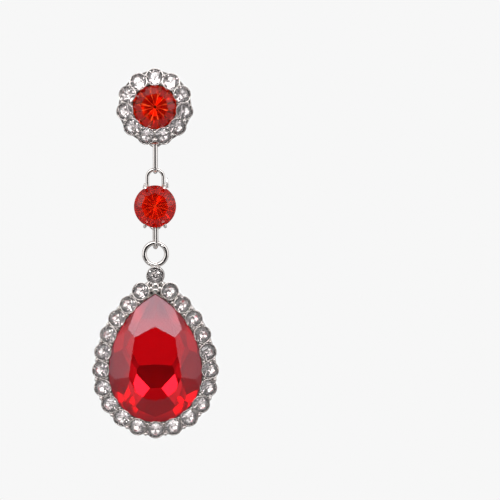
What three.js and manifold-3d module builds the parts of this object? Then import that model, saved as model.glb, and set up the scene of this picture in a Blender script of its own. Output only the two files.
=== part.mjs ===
// A drop earring: a round stud with a halo of clear stones, a round red stone on two links,
// and a red pear stone in a halo of clear stones. Millimetres, +Z up, the front faces -Y.
// The origin is where the post meets the flat back of the stud.
import * as THREE from "three";
import { ConvexGeometry } from "three/addons/geometries/ConvexGeometry.js";
import { mergeVertices } from "three/addons/utils/BufferGeometryUtils.js";
import Module from "manifold-3d";

const solids = await Module();
solids.setup();

// Clearances
const STONE_GAP = 0.05; // between a stone and its seat
const WIRE_GAP = 0.05; // between two linked wires
const POST_GAP = 0.06; // between the post and its socket
const STONE_SPACE = 0.22; // between neighbouring small stones of the stud

// Small clear stones and their cups
const SMALL_R = 1.07; // radius of a small stone's girdle
const SMALL_CROWN = 0.36; // girdle to table
const SMALL_GIRDLE = 0.08; // thickness of the girdle
const SMALL_PAVILION = 0.74; // girdle to the point behind
const SMALL_TABLE = 0.56; // table radius as a share of the girdle's
const CUP_LIP = 0.17; // wall of a cup round its stone
const CUP_SINK = 0.12; // how far the girdle sits below the cup's rim
const CUP_END = 0.05; // further room behind the point of a small stone
const HALO_OUT = 1.2; // from a middle stone's edge to the centres of its small stones
const BAND_REACH = 0.7; // how far the band between the cups reaches past the stones' centres,
// as a share of a cup's radius
const BAND_SINK = 0.55; // how far the band's face lies behind the rims of the cups

// Cut of the larger stones: rings of corners between the table, the girdle and the point behind
const CROWN_BREAK = 0.54; // height of the crown's middle ring as a share of the crown
const CROWN_BULGE = 0.04; // how far that ring stands out, as a share of the girdle's radius
const BACK_BREAK = 0.56; // depth of the back's middle ring as a share of the pavilion
const BACK_SIZE = 0.5; // its size as a share of the girdle's

// Chain plane: all the links and loops are centred on it
const CHAIN_Y = -0.95;

// Stud
const STUD_STONE_R = 3.0;
const STUD_HALO_COUNT = 11;
const STUD_PLATE = 0.8; // thickness of the back plate
const PLATE_REACH = 0.6; // how far the plate reaches under the cups, as a share of their radius
const PLATE_BEVEL = 0.3; // bevel round the back of the plate
const STUD_RIM = 3.1; // from the back to the rims of the cups
const STUD_STONE_LIFT = 0.1; // how far the red stone stands in front of the small ones
const STUD_LEAN = 18; // degrees that a halo stone leans outwards
const ROUND_CROWN = 0.95;
const ROUND_GIRDLE = 0.14;
const ROUND_PAVILION = 2.3;
const ROUND_TABLE = 0.6;
const STUD_LOOP_R = 0.85;
const STUD_LOOP_WIRE = 0.28;
const STUD_LOOP_DROP = 5.4; // from the origin down to the wire that carries the chain
const SWING_ROOM = 0.12; // to each side of the upper link in the stud's notch

// Ear post
const POST_R = 0.42;
const POST_LENGTH = 10.5;
const POST_SEAT = 0.3; // how deep it sits in the stud
const POST_NOTCH_AT = 1.9; // from the tip
const POST_NOTCH = 0.1; // depth of the groove
const POST_NOTCH_HALF = 0.15; // half the width of the groove's floor
const POST_TAPER = 0.6; // length of the blunt tip

// Upper link
const UPPER_WIRE = 0.32;
const UPPER_LENGTH = 4.3; // between the middles of its two end wires

// Middle stone and its setting
const MIDDLE_R = 2.95;
const MIDDLE_BELOW = 4.84; // from the upper link's lower wire to the stone's centre
const MIDDLE_FORWARD = 1.3; // from the chain plane to the back of the girdle
const CUP_WALL = 0.34;
const CUP_BACK_R = 0.9; // radius of the cup's flat back
const CUP_SHARE = 0.94; // radius of the cup's rim as a share of the stone's
const CUP_LIFT = 0.04; // how far the rim rises past the back of the girdle
const LOOP_ROOT = 1.2; // how far over the stone's centre the upper loop ends
const TOP_LOOP_R = 1.12;
const LOOP_WIRE = 0.26;
const BOTTOM_LOOP_R = 0.8;
const BOTTOM_LOOP_DROP = 3.14; // from the stone's centre to the wire that carries the drop
const PRONG_R = 0.23;
const PRONG_SPREAD = 27; // degrees off the upright
const PRONG_STAND = 0.24; // how far the prong's elbow stands out from the stone's edge
const PRONG_OVER = 0.12; // how far its tip reaches in over the edge
const PRONG_TIP = 0.5; // how far in front of the girdle it ends
const PRONG_FOOT_IN = 0.5; // from the stone's edge in to the prong's foot
const PRONG_FOOT_BACK = 0.9; // from the back of the girdle to the foot

// Lower link
const LOWER_WIRE = 0.26;
const LOWER_LENGTH = 3.25; // between the middles of its two end wires
const LOWER_TURN = 18; // degrees that the link is turned out of the side view

// Pear stone, measured from its widest line
const PEAR_HALF = 6.5;
const PEAR_UP = 11.04;
const PEAR_DOWN = 6.83;
const PEAR_CROWN = 1.7;
const PEAR_GIRDLE = 0.22;
const PEAR_PAVILION = 3.1;
const PEAR_TABLE = 0.53;
const PEAR_FACETS = 12;
const PEAR_FORWARD = 0.95; // from the chain plane to the back of the pear's girdle

// Drop setting
const RING_R = 1.56;
const RING_WIRE = 0.34;
const TOP_STONE_BELOW = 3.04; // from the ring's centre to the top stone's centre
const PEAR_BELOW = 13.7; // from the top stone's centre down to the pear's widest line
const DROP_HALO_COUNT = 22; // small stones, the top one included
const TOP_PITCH = 3.0; // from the top stone to the next one on each side
const DROP_LEAN = 15; // degrees
const DROP_RIM = 0.95; // from the chain plane forward to the rims of the cups
const DROP_CUP_DEPTH = 1.9;
const COLLAR = 0.22; // metal round the pear's girdle
const COLLAR_LIP = 0.16; // how far the collar rises past the back of the girdle
const DISH_WALL = 0.9; // height of the dish's upright side behind the girdle
const DISH_BACK = 0.45; // size of the flat back as a share of the collar's outline
const BACK_WALL = 0.45; // metal behind the pear's point
const STAR_R = 0.55; // bead under the top stone
const STAR_SINK = 0.45; // how far the bead's middle lies behind the rims of the cups

const TAU = 2 * Math.PI;
const WIRE_SIDES = 6;
const LOOP_SIDES = 14;
const CUP_SIDES = 14;
const PLATE_SIDES = 44;

const rad = (degrees) => (degrees * Math.PI) / 180;
const vec = (x, y, z) => new THREE.Vector3(x, y, z);
const range = (n) => [...Array(n).keys()];

// Finishes
const finish = (color, roughness, metalness) =>
  new THREE.MeshStandardMaterial({ color, roughness, metalness });
const silver = () => finish(0xc9c6c4, 0.22, 1);
const clearGlass = () => finish(0xeeeef4, 0.05, 0.1);
const orangeGlass = () => finish(0xd81c08, 0.06, 0.1);
const redGlass = () => finish(0xb00018, 0.06, 0.1);

// A closed solid for joining and cutting, from a geometry with its faces outward
function solidOf(geometry) {
  const bare = new THREE.BufferGeometry();
  const loose = geometry.index ? geometry.toNonIndexed() : geometry;
  bare.setAttribute("position", loose.getAttribute("position"));
  const merged = mergeVertices(bare, 1e-4);
  const mesh = new solids.Mesh({
    numProp: 3,
    vertProperties: merged.attributes.position.array,
    triVerts: new Uint32Array(merged.index.array),
  });
  return new solids.Manifold(mesh);
}

// A geometry from a solid
function geometryOf(solid) {
  const mesh = solid.getMesh();
  const geometry = new THREE.BufferGeometry();
  geometry.setAttribute("position", new THREE.BufferAttribute(mesh.vertProperties, 3));
  geometry.setIndex(new THREE.BufferAttribute(mesh.triVerts, 1));
  return geometry;
}

const join = (geometries) => solids.Manifold.union(geometries.map(solidOf));

// Metal is joined first, then the seats of its stones and other spaces are cut out of it
function setting(metal, spaces) {
  return geometryOf(join(metal).subtract(join(spaces)));
}

// A body turned about the Y axis: each pair is a radius and a place along Y, from the middle of
// the back over the outside to the middle of the front
function turned(profile, sides) {
  const points = profile.map(([radius, y]) => new THREE.Vector2(radius, y));
  return new THREE.LatheGeometry(points.reverse(), sides);
}

// A link that lies in the XZ plane: a round wire bent to a ring, then drawn out along Z
function link(radius, wire, stretch) {
  const section = range(WIRE_SIDES + 1).map((i) => {
    const a = (TAU * (i % WIRE_SIDES)) / WIRE_SIDES;
    return new THREE.Vector2(radius + wire * Math.cos(a), wire * Math.sin(a));
  });
  const geometry = new THREE.LatheGeometry(section, LOOP_SIDES);
  const place = geometry.getAttribute("position");
  range(place.count).forEach((i) => {
    place.setZ(i, place.getZ(i) + (Math.sign(place.getZ(i)) * stretch) / 2);
  });
  return geometry;
}

// A straight round bar from one point to another
function bar(from, to, radius, sides) {
  const way = to.clone().sub(from);
  const geometry = new THREE.CylinderGeometry(radius, radius, way.length(), sides);
  const turn = new THREE.Quaternion().setFromUnitVectors(vec(0, 1, 0), way.clone().normalize());
  geometry.applyQuaternion(turn);
  const middle = from.clone().lerp(to, 0.5);
  return geometry.translate(middle.x, middle.y, middle.z);
}

// A cut stone whose front is -Y. Its outline is a function of a share of one turn, drawn about
// the Y axis, and each ring of corners is that outline made smaller and moved along Y.
function cutStone(outline, facets, sizes) {
  const { crown, girdle, pavilion, table, waist, grow } = sizes;
  const ring = (count, shift, share, y) =>
    range(count).map((i) => {
      const p = outline((i + shift) / count);
      const size = share + grow / p.length();
      return vec(p.x * size, y, p.y * size);
    });
  const points = [
    ...ring(facets, 0, table, -crown - grow),
    ...ring(2 * facets, 0, 1, -grow / 2),
    ...ring(2 * facets, 0, 1, girdle + grow / 2),
    vec(0, girdle + pavilion + grow, 0),
  ];
  if (waist) {
    const middle = (1 + table) / 2 + CROWN_BULGE;
    points.push(...ring(facets, 0.5, middle, -CROWN_BREAK * crown - grow));
    points.push(...ring(facets, 0.5, BACK_SIZE, girdle + BACK_BREAK * pavilion + grow));
  }
  return new ConvexGeometry(points);
}

const circle = (radius) => (t) =>
  new THREE.Vector2(radius * Math.sin(TAU * t), radius * Math.cos(TAU * t));

const smallStone = () =>
  cutStone(circle(SMALL_R), 8, {
    crown: SMALL_CROWN,
    girdle: SMALL_GIRDLE,
    pavilion: SMALL_PAVILION,
    table: SMALL_TABLE,
    waist: false,
    grow: 0,
  });

const roundStone = (radius, grow) =>
  cutStone(circle(radius), 8, {
    crown: ROUND_CROWN,
    girdle: ROUND_GIRDLE,
    pavilion: ROUND_PAVILION,
    table: ROUND_TABLE,
    waist: true,
    grow,
  });

// The pear is half an ellipse below its widest line and two arcs that meet in a tip above it
const PEAR_ARC_IN = (PEAR_UP ** 2 - PEAR_HALF ** 2) / (2 * PEAR_HALF);
const PEAR_ARC_R = PEAR_ARC_IN + PEAR_HALF;

// The pear's edge moved out by an amount, from the tip round by the right side. With a point
// over the tip, its sides go straight from the arcs to that point.
function pearPath(out, apex) {
  const radius = PEAR_ARC_R + out;
  const reach = apex ? Math.hypot(PEAR_ARC_IN, apex) : radius;
  const up = apex
    ? Math.atan2(apex, PEAR_ARC_IN) - Math.acos(radius / reach)
    : Math.acos(PEAR_ARC_IN / radius);
  const path = new THREE.Path();
  if (apex) path.moveTo(0, apex);
  if (apex) path.lineTo(-PEAR_ARC_IN + radius * Math.cos(up), radius * Math.sin(up));
  path.absarc(-PEAR_ARC_IN, 0, radius, up, 0, true);
  path.absellipse(0, 0, PEAR_HALF + out, PEAR_DOWN + out, 0, -Math.PI, true);
  path.absarc(PEAR_ARC_IN, 0, radius, Math.PI, Math.PI - up, true);
  if (apex) path.lineTo(0, apex);
  return path;
}

const pearEdge = pearPath(0);
const pearStone = (grow) =>
  cutStone((t) => pearEdge.getPoint(t % 1), PEAR_FACETS, {
    crown: PEAR_CROWN,
    girdle: PEAR_GIRDLE,
    pavilion: PEAR_PAVILION,
    table: PEAR_TABLE,
    waist: true,
    grow,
  });

// A solid between pear outlines, each given as how far out, its size and its place along Y
function pearBody(levels) {
  const points = levels.flatMap(([out, size, y]) => {
    const path = pearPath(out);
    return range(PLATE_SIDES).map((i) => {
      const p = path.getPoint(i / PLATE_SIDES);
      return vec(p.x * size, y, p.y * size);
    });
  });
  return new ConvexGeometry(points);
}

// Small stones: each seat is a place in the XZ plane, the way outwards, how far it leans, and
// its size as a share of the common one
function seatMatrix(seat, y) {
  const { at, out, lean, size } = seat;
  const side = vec(-out.y, 0, out.x);
  const back = vec(-out.x * Math.sin(lean), Math.cos(lean), -out.y * Math.sin(lean));
  const turn = new THREE.Matrix4().makeBasis(side, back, side.clone().cross(back));
  return turn.scale(vec(size, size, size)).setPosition(at.x, y, at.y);
}

// The stud's small stones fill the circle round the red stone, with STONE_SPACE between them
function studSeats() {
  const halo = STUD_STONE_R + HALO_OUT;
  const half = halo * Math.sin(Math.PI / STUD_HALO_COUNT);
  const size = (half - STONE_SPACE / 2) / SMALL_R;
  return range(STUD_HALO_COUNT).map((i) => {
    const out = circle(1)(i / STUD_HALO_COUNT);
    return { at: out.clone().multiplyScalar(halo), out, lean: rad(STUD_LEAN), size };
  });
}

function dropSeats() {
  const path = pearPath(HALO_OUT, PEAR_BELOW);
  const length = path.getLength();
  const gaps = DROP_HALO_COUNT - 2;
  const step = (length - 2 * TOP_PITCH) / gaps;
  const places = [0, ...range(gaps + 1).map((i) => (TOP_PITCH + i * step) / length)];
  return places.map((t) => {
    const along = path.getTangent(t);
    const out = t ? new THREE.Vector2(-along.y, along.x) : new THREE.Vector2(0, 1);
    return { at: path.getPoint(t), out, lean: rad(t ? DROP_LEAN : 0), size: 1 };
  });
}

const CUP_SEAT_R = SMALL_R + STONE_GAP;
const CUP_R = CUP_SEAT_R + CUP_LIP;
const CUP_FLOOR = SMALL_GIRDLE + SMALL_PAVILION + STONE_GAP + CUP_END;
const BAND_OUT = HALO_OUT + CUP_R * BAND_REACH;

// A cup with its rim, straight seat and pointed floor, about its own axis
function cup(depth) {
  const profile = [
    [0, depth],
    [CUP_R, depth],
    [CUP_R, -CUP_SINK],
    [CUP_SEAT_R, -CUP_SINK],
    [CUP_SEAT_R, SMALL_GIRDLE + STONE_GAP],
    [0, CUP_FLOOR],
  ];
  return turned(profile, CUP_SIDES);
}

const cupSpace = () => {
  const profile = [
    [0, CUP_FLOOR],
    [CUP_SEAT_R, SMALL_GIRDLE + STONE_GAP],
    [CUP_SEAT_R, -SMALL_CROWN - CUP_LIP],
    [0, -SMALL_CROWN - CUP_LIP],
  ];
  return turned(profile, CUP_SIDES);
};

const seated = (geometry, seat, y) => geometry.applyMatrix4(seatMatrix(seat, y));

const numbered = (name, i) => name + "_" + String(i + 1).padStart(2, "0");

const earring = new THREE.Group();
earring.name = "drop_earring";

function piece(name, geometry, material) {
  const mesh = new THREE.Mesh(geometry, material);
  mesh.name = name;
  earring.add(mesh);
}

// Stud
const studSeatY = -STUD_RIM + CUP_SINK;
const studStoneY = studSeatY - STUD_STONE_LIFT;
const studLoopZ = STUD_LOOP_R - STUD_LOOP_DROP;
const studStone = (grow) => roundStone(STUD_STONE_R, grow).translate(0, studStoneY, 0);

// The space under the stud in which the upper link swings
function linkSpace(wire, carrier, wide) {
  const reach = carrier + 2 * wire + 3 * WIRE_GAP;
  return turned([[0, wide], [reach, wide], [reach, -wide], [0, -wide]], LOOP_SIDES)
    .rotateZ(Math.PI / 2);
}

function studSetting() {
  const seats = studSeats();
  const plate = STUD_STONE_R + HALO_OUT + CUP_R * PLATE_REACH;
  const band = STUD_STONE_R + BAND_OUT;
  const face = -STUD_RIM + BAND_SINK;
  const collar = STUD_STONE_R + COLLAR;
  const front = studStoneY - CUP_SINK;
  const block = turned([[0, 0], [plate - PLATE_BEVEL, 0], [plate, -PLATE_BEVEL],
    [band, -STUD_PLATE], [band, face], [collar, face], [collar, front], [0, front]], PLATE_SIDES);
  const cups = seats.map((seat) => seated(cup(STUD_RIM - STUD_PLATE), seat, studSeatY));
  const swing = linkSpace(UPPER_WIRE, STUD_LOOP_WIRE, UPPER_WIRE + SWING_ROOM)
    .translate(0, CHAIN_Y, -STUD_LOOP_DROP);
  const base = join([block, ...cups]).subtract(solidOf(swing));
  const loop = link(STUD_LOOP_R, STUD_LOOP_WIRE, 0).translate(0, CHAIN_Y, studLoopZ);
  const socket = bar(vec(0, -POST_SEAT - POST_GAP, 0), vec(0, STUD_PLATE, 0),
    POST_R + POST_GAP, CUP_SIDES);
  const spaces = [
    studStone(STONE_GAP),
    socket,
    ...seats.map((seat) => seated(cupSpace(), seat, studSeatY)),
  ];
  return geometryOf(base.add(solidOf(loop)).subtract(join(spaces)));
}

function earPost() {
  const groove = POST_LENGTH - POST_NOTCH_AT;
  const slope = POST_NOTCH_HALF + POST_NOTCH;
  const profile = [
    [0, POST_LENGTH],
    [POST_R / 2, POST_LENGTH - POST_NOTCH],
    [POST_R, POST_LENGTH - POST_TAPER],
    [POST_R, groove + slope],
    [POST_R - POST_NOTCH, groove + POST_NOTCH_HALF],
    [POST_R - POST_NOTCH, groove - POST_NOTCH_HALF],
    [POST_R, groove - slope],
    [POST_R, -POST_SEAT],
    [0, -POST_SEAT],
  ];
  return turned(profile, CUP_SIDES);
}

piece("stud_setting", studSetting(), silver());
piece("stud_stone", studStone(0), orangeGlass());
studSeats().forEach((seat, i) => {
  piece(numbered("stud_halo_stone", i), seated(smallStone(), seat, studSeatY), clearGlass());
});
piece("ear_post", earPost(), silver());

// Upper link, seen edge-on
const upperTopZ = -STUD_LOOP_DROP + STUD_LOOP_WIRE + UPPER_WIRE + WIRE_GAP;
const upperBottomZ = upperTopZ - UPPER_LENGTH;
const UPPER_R = STUD_LOOP_WIRE + UPPER_WIRE + WIRE_GAP;
piece(
  "upper_link",
  link(UPPER_R, UPPER_WIRE, UPPER_LENGTH - 2 * UPPER_R)
    .rotateZ(Math.PI / 2)
    .translate(0, CHAIN_Y, upperTopZ - UPPER_LENGTH / 2),
  silver(),
);

// Middle stone
const middleZ = upperBottomZ - MIDDLE_BELOW;
const middleY = CHAIN_Y - MIDDLE_FORWARD - ROUND_GIRDLE;
const topLoopZ = upperBottomZ + UPPER_WIRE + LOOP_WIRE + WIRE_GAP;
const middleStone = (grow) => roundStone(MIDDLE_R, grow).translate(0, middleY, middleZ);

function prong(angle) {
  const at = (radius, y) =>
    vec(radius * Math.sin(angle), y, middleZ + radius * Math.cos(angle));
  const rim = middleY + ROUND_GIRDLE;
  const elbow = MIDDLE_R + PRONG_STAND;
  const foot = at(MIDDLE_R - PRONG_FOOT_IN, rim + PRONG_FOOT_BACK);
  const stem = bar(foot, at(elbow, rim - ROUND_GIRDLE), PRONG_R, WIRE_SIDES);
  const claw = bar(at(elbow, rim), at(MIDDLE_R - PRONG_OVER, middleY - PRONG_TIP), PRONG_R,
    WIRE_SIDES);
  return [stem, claw];
}

function connectorSetting() {
  const rim = middleY + ROUND_GIRDLE;
  const back = rim + ROUND_PAVILION + CUP_WALL;
  const wide = MIDDLE_R * CUP_SHARE;
  const cone = turned([[0, back], [CUP_BACK_R, back], [wide, rim + CUP_WALL],
    [wide, rim - CUP_LIFT], [0, rim - CUP_LIFT]], PLATE_SIDES / 2).translate(0, 0, middleZ);
  const topLength = topLoopZ - middleZ - LOOP_ROOT;
  const top = link(TOP_LOOP_R, LOOP_WIRE, topLength - 2 * TOP_LOOP_R)
    .translate(0, CHAIN_Y, topLoopZ - topLength / 2);
  const bottom = link(BOTTOM_LOOP_R, LOOP_WIRE, 0)
    .translate(0, CHAIN_Y, middleZ - BOTTOM_LOOP_DROP + BOTTOM_LOOP_R);
  const spread = rad(PRONG_SPREAD);
  const prongs = [spread, -spread, Math.PI + spread, Math.PI - spread].flatMap(prong);
  return setting([cone, top, bottom, ...prongs], [middleStone(STONE_GAP)]);
}

piece("connector_setting", connectorSetting(), silver());
piece("connector_stone", middleStone(0), orangeGlass());

// Lower link, turned a little out of the side view
const lowerTopZ = middleZ - BOTTOM_LOOP_DROP + LOOP_WIRE + LOWER_WIRE + WIRE_GAP;
const lowerBottomZ = lowerTopZ - LOWER_LENGTH;
const LOWER_R = RING_WIRE + LOWER_WIRE + WIRE_GAP;
piece(
  "lower_link",
  link(LOWER_R, LOWER_WIRE, LOWER_LENGTH - 2 * LOWER_R)
    .rotateZ(Math.PI / 2 + rad(LOWER_TURN))
    .translate(0, CHAIN_Y, lowerTopZ - LOWER_LENGTH / 2),
  silver(),
);

// Drop
const ringZ = lowerBottomZ + LOWER_WIRE + WIRE_GAP + RING_WIRE - RING_R;
const topStoneZ = ringZ - TOP_STONE_BELOW;
const pearZ = topStoneZ - PEAR_BELOW;
const pearY = CHAIN_Y - PEAR_FORWARD - PEAR_GIRDLE;
const dropSeatY = CHAIN_Y - DROP_RIM + CUP_SINK;
const dropStone = (grow) => pearStone(grow).translate(0, pearY, pearZ);
const inDrop = (geometry, seat) => seated(geometry, seat, dropSeatY).translate(0, 0, pearZ);

function dropSetting() {
  const seats = dropSeats();
  const girdleBack = pearY + PEAR_GIRDLE;
  const back = girdleBack + PEAR_PAVILION + BACK_WALL;
  const dish = pearBody([[COLLAR, 1, girdleBack - COLLAR_LIP],
    [COLLAR, 1, girdleBack + DISH_WALL], [COLLAR, DISH_BACK, back]]);
  const rimY = CHAIN_Y - DROP_RIM;
  const band = pearBody([[BAND_OUT, 1, rimY + BAND_SINK],
    [BAND_OUT, 1, rimY + DROP_CUP_DEPTH - BAND_SINK],
    [HALO_OUT, 1, rimY + DROP_CUP_DEPTH]]);
  const cups = seats.map((seat) => inDrop(cup(DROP_CUP_DEPTH), seat));
  const star = new THREE.IcosahedronGeometry(STAR_R, 1)
    .translate(0, rimY + STAR_SINK, topStoneZ - CUP_R);
  const ring = link(RING_R, RING_WIRE, 0).translate(0, CHAIN_Y, ringZ);
  const metal = [dish.translate(0, 0, pearZ), band.translate(0, 0, pearZ), ...cups, star, ring];
  const spaces = [dropStone(STONE_GAP), ...seats.map((seat) => inDrop(cupSpace(), seat))];
  return setting(metal, spaces);
}

piece("drop_setting", dropSetting(), silver());
piece("drop_stone", dropStone(0), redGlass());
dropSeats().forEach((seat, i) => {
  piece(numbered("drop_halo_stone", i), inDrop(smallStone(), seat), clearGlass());
});

export default earring;
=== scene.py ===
"""A drop earring: a round stud, a middle stone on two links and a pear drop, each red stone cut and
foil-backed, with halos of small clear stones in plated cups. Sizes in this file are millimetres."""

from __future__ import annotations

import logging
import math
from dataclasses import dataclass, field
from enum import Enum

import bmesh
import bpy
import numpy as np
from bmesh.types import BMEdge, BMesh, BMFace, BMVert
from bpy.types import Material, Mesh, Node, NodeLinks, Nodes, NodeTree, Object
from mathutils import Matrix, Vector


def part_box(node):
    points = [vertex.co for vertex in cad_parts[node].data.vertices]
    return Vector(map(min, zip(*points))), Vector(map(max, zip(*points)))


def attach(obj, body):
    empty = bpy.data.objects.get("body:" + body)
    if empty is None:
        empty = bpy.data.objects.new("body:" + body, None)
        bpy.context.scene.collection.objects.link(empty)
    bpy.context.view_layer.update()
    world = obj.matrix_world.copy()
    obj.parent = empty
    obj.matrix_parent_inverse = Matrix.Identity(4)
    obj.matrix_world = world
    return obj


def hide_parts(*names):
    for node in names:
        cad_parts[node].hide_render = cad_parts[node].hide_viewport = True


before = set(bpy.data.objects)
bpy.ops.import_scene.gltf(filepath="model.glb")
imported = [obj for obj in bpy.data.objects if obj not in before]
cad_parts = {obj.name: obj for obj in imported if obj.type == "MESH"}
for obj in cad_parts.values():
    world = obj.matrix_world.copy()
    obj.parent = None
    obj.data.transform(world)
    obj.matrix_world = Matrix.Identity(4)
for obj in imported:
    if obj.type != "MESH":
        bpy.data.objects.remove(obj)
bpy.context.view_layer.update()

Array = np.ndarray
Colour = tuple[float, float, float]

LOG = logging.getLogger("earring")
MM = 0.001
SEED = 11
FRONT = np.array([0.0, -1.0, 0.0])

# The name of the faces' foil tone, those given by chance, the girdle's, and how level counts as
# a girdle.
TONE = "tone"
CHANCE_TONES = [0.0, 0.35, 0.8]
GIRDLE_TONE = 0.8
LEVEL = 0.05

# How far a small CAD stone's mean corner lies in front of its girdle's front edge.
SEAT_BEHIND = 0.019

# Points closer than this are one, flat cuts within this many degrees are one, edges sharper than
# this stay sharp, and a block reaches this far past the stone that is cut out of it.
SAME_POINT = 2e-4
SAME_CUT = 0.6
SHARP = 42.0
SPARE = 0.5


class Slot(Enum):
    """Material slots of the record."""

    METAL = "rhodium"
    ORANGE = "orange_red_glass"
    RED = "deep_red_glass"
    CLEAR = "clear_glass"


# Surfaces


@dataclass
class Shell:
    """One closed surface: its points in millimetres and its faces."""

    points: Array
    faces: Array


def grid_faces(rows: int, cols: int, wrap_rows: bool, wrap_cols: bool) -> Array:
    """Four-sided faces over a grid of points kept row by row.

    Args:
        rows: points across the first direction.
        cols: points across the second direction.
        wrap_rows: whether the last row joins the first.
        wrap_cols: whether the last column joins the first.

    Returns:
        An array of four point numbers a face.
    """
    i = np.arange(rows if wrap_rows else rows - 1)[:, None]
    j = np.arange(cols if wrap_cols else cols - 1)[None, :]
    a, b = i, (i + 1) % rows
    c, d = j, (j + 1) % cols
    corners = [a * cols + c, b * cols + c, b * cols + d, a * cols + d]
    return np.stack(np.broadcast_arrays(*corners), axis=-1).reshape(-1, 4)


def turned(profile: Array, centre: Array, front: Array, sides: int, ring: bool = False) -> Shell:
    """A profile turned about an axis.

    point = centre + radius * (side * cos a + up * sin a) - front * y

    Args:
        profile: pairs of radius and distance behind the centre, from the axis to the axis.
        centre: a point on the axis.
        front: the unit vector from the centre towards the viewer's side.
        sides: steps round the axis.
        ring: whether the profile's last pair joins its first, for a body with a hole.

    Returns:
        The closed shell.
    """
    ways = spokes(front, np.linspace(0.0, 2 * np.pi, sides, endpoint=False))
    r, y = profile[:, 0], profile[:, 1]
    points = centre + r[None, :, None] * ways[:, None, :] - y[None, :, None] * front
    return Shell(points.reshape(-1, 3), grid_faces(sides, len(profile), True, ring))


def spokes(front: Array, a: Array) -> Array:
    """Unit vectors square to a third one, at angles round it."""
    side = np.cross(front, [0.0, 0.0, 1.0])
    if np.linalg.norm(side) < 1e-6:
        side = np.array([1.0, 0.0, 0.0])
    side = side / np.linalg.norm(side)
    return np.cos(a)[:, None] * side + np.sin(a)[:, None] * np.cross(side, front)


def wire(path: Array, flat: Array, radius: float, sides: int, closed: bool) -> Shell:
    """A round wire along a curve that lies in a plane.

    point = path + radius * (cos a * plane's normal + sin a * (normal x tangent)), with the ends
    drawn in to the path where it is open.

    Args:
        path: points along the curve.
        flat: the unit normal of the curve's plane.
        radius: radius of the wire.
        sides: steps round the wire.
        closed: whether the curve closes on itself.

    Returns:
        The closed shell.
    """
    if closed:
        along = np.roll(path, -1, axis=0) - np.roll(path, 1, axis=0)
        size = np.full(len(path), radius)
    else:
        along = np.gradient(path, axis=0)
        along = np.concatenate([along[:1], along, along[-1:]])
        path = np.concatenate([path[:1], path, path[-1:]])
        size = np.full(len(path), radius)
        size[[0, -1]] = 0.0
    along = along / np.linalg.norm(along, axis=1, keepdims=True)
    out = np.cross(flat, along)
    a = np.linspace(0.0, 2 * np.pi, sides, endpoint=False)
    ring = np.cos(a)[None, :, None] * flat + np.sin(a)[None, :, None] * out[:, None, :]
    points = path[:, None, :] + size[:, None, None] * ring
    return Shell(points.reshape(-1, 3), grid_faces(len(path), sides, closed, True))


def ball(centre: Array, radius: float, front: Array, squash: float = 1.0) -> Shell:
    """A small round bead, a half circle turned about its axis."""
    a = np.linspace(0.0, np.pi, 9)
    profile = np.stack([radius * np.sin(a), radius * squash * np.cos(a)], axis=1)
    return turned(profile, centre, front, 14)


def carve(body: Shell, tools: list[Shell]) -> Shell:
    """Takes closed shells out of another one.

    Args:
        body: what is cut.
        tools: what is taken out of it.

    Returns:
        The rest, in triangles.
    """
    whole, cutter = piece("carved", [body], []), piece("cutter", tools, [])
    step = whole.modifiers.new("places", "BOOLEAN")
    step.object, step.operation, step.solver, step.use_self = cutter, "DIFFERENCE", "EXACT", True
    found = whole.evaluated_get(bpy.context.evaluated_depsgraph_get())
    shape = bmesh.new()
    shape.from_mesh(found.data)
    bmesh.ops.triangulate(shape, faces=shape.faces)
    rest = bpy.data.meshes.new("rest")
    shape.to_mesh(rest)
    shape.free()
    points = np.empty(3 * len(rest.vertices), dtype=np.float32)
    faces = np.empty(3 * len(rest.polygons), dtype=np.int32)
    rest.vertices.foreach_get("co", points)
    rest.loops.foreach_get("vertex_index", faces)
    for mesh in (whole.data, cutter.data, rest):
        bpy.data.meshes.remove(mesh)
    return Shell(points.reshape(-1, 3).astype(float) / MM, faces.reshape(-1, 3))


def placed(name: str, mesh: Mesh, materials: list[Material]) -> Object:
    """Gives a mesh its materials and puts it in the scene as an object."""
    for material in materials:
        mesh.materials.append(material)
    made = bpy.data.objects.new(name, mesh)
    bpy.context.scene.collection.objects.link(made)
    return made


def piece(name: str, shells: list[Shell], materials: list[Material]) -> Object:
    """One object from closed shells, with doubles merged, faces outwards and corners sharp.

    Args:
        name: the object's name.
        shells: its surfaces.
        materials: its materials.

    Returns:
        The new object, in the scene.
    """
    starts = np.cumsum([0] + [len(s.points) for s in shells])
    points = np.concatenate([s.points for s in shells]) * MM
    faces = [face for s, n in zip(shells, starts) for face in (s.faces + n).tolist()]
    mesh = bpy.data.meshes.new(name)
    mesh.from_pydata(points, [], faces)
    mesh.polygons.foreach_set("use_smooth", np.ones(len(faces), dtype=bool))
    shape = bmesh.new()
    shape.from_mesh(mesh)
    bmesh.ops.remove_doubles(shape, verts=shape.verts, dist=SAME_POINT * MM)
    bmesh.ops.recalc_face_normals(shape, faces=shape.faces)
    shape.to_mesh(mesh)
    shape.free()
    mesh.set_sharp_from_angle(angle=math.radians(SHARP))
    return placed(name, mesh, materials)


def stands_for(made: Object, node: str, body: str) -> None:
    """Puts a finished piece in a node's place on its body."""
    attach(made, body)
    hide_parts(node)
    LOG.info("%s stands for %s on %s: %d faces", made.name, node, body, len(made.data.polygons))


# Finishes


def joined(links: NodeLinks, *chains: tuple) -> None:
    """Links nodes. A chain is a node, its output, the next node's input, that node, and so on."""
    for chain in chains:
        for i in range(0, len(chain) - 1, 3):
            start, output, entry, end = chain[i : i + 4]
            links.new(start.outputs[output], end.inputs[entry])


def with_values(node: Node, values: dict) -> Node:
    """Sets some of a node's own inputs and returns the node."""
    for entry, value in values.items():
        node.inputs[entry].default_value = value
    return node


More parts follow.
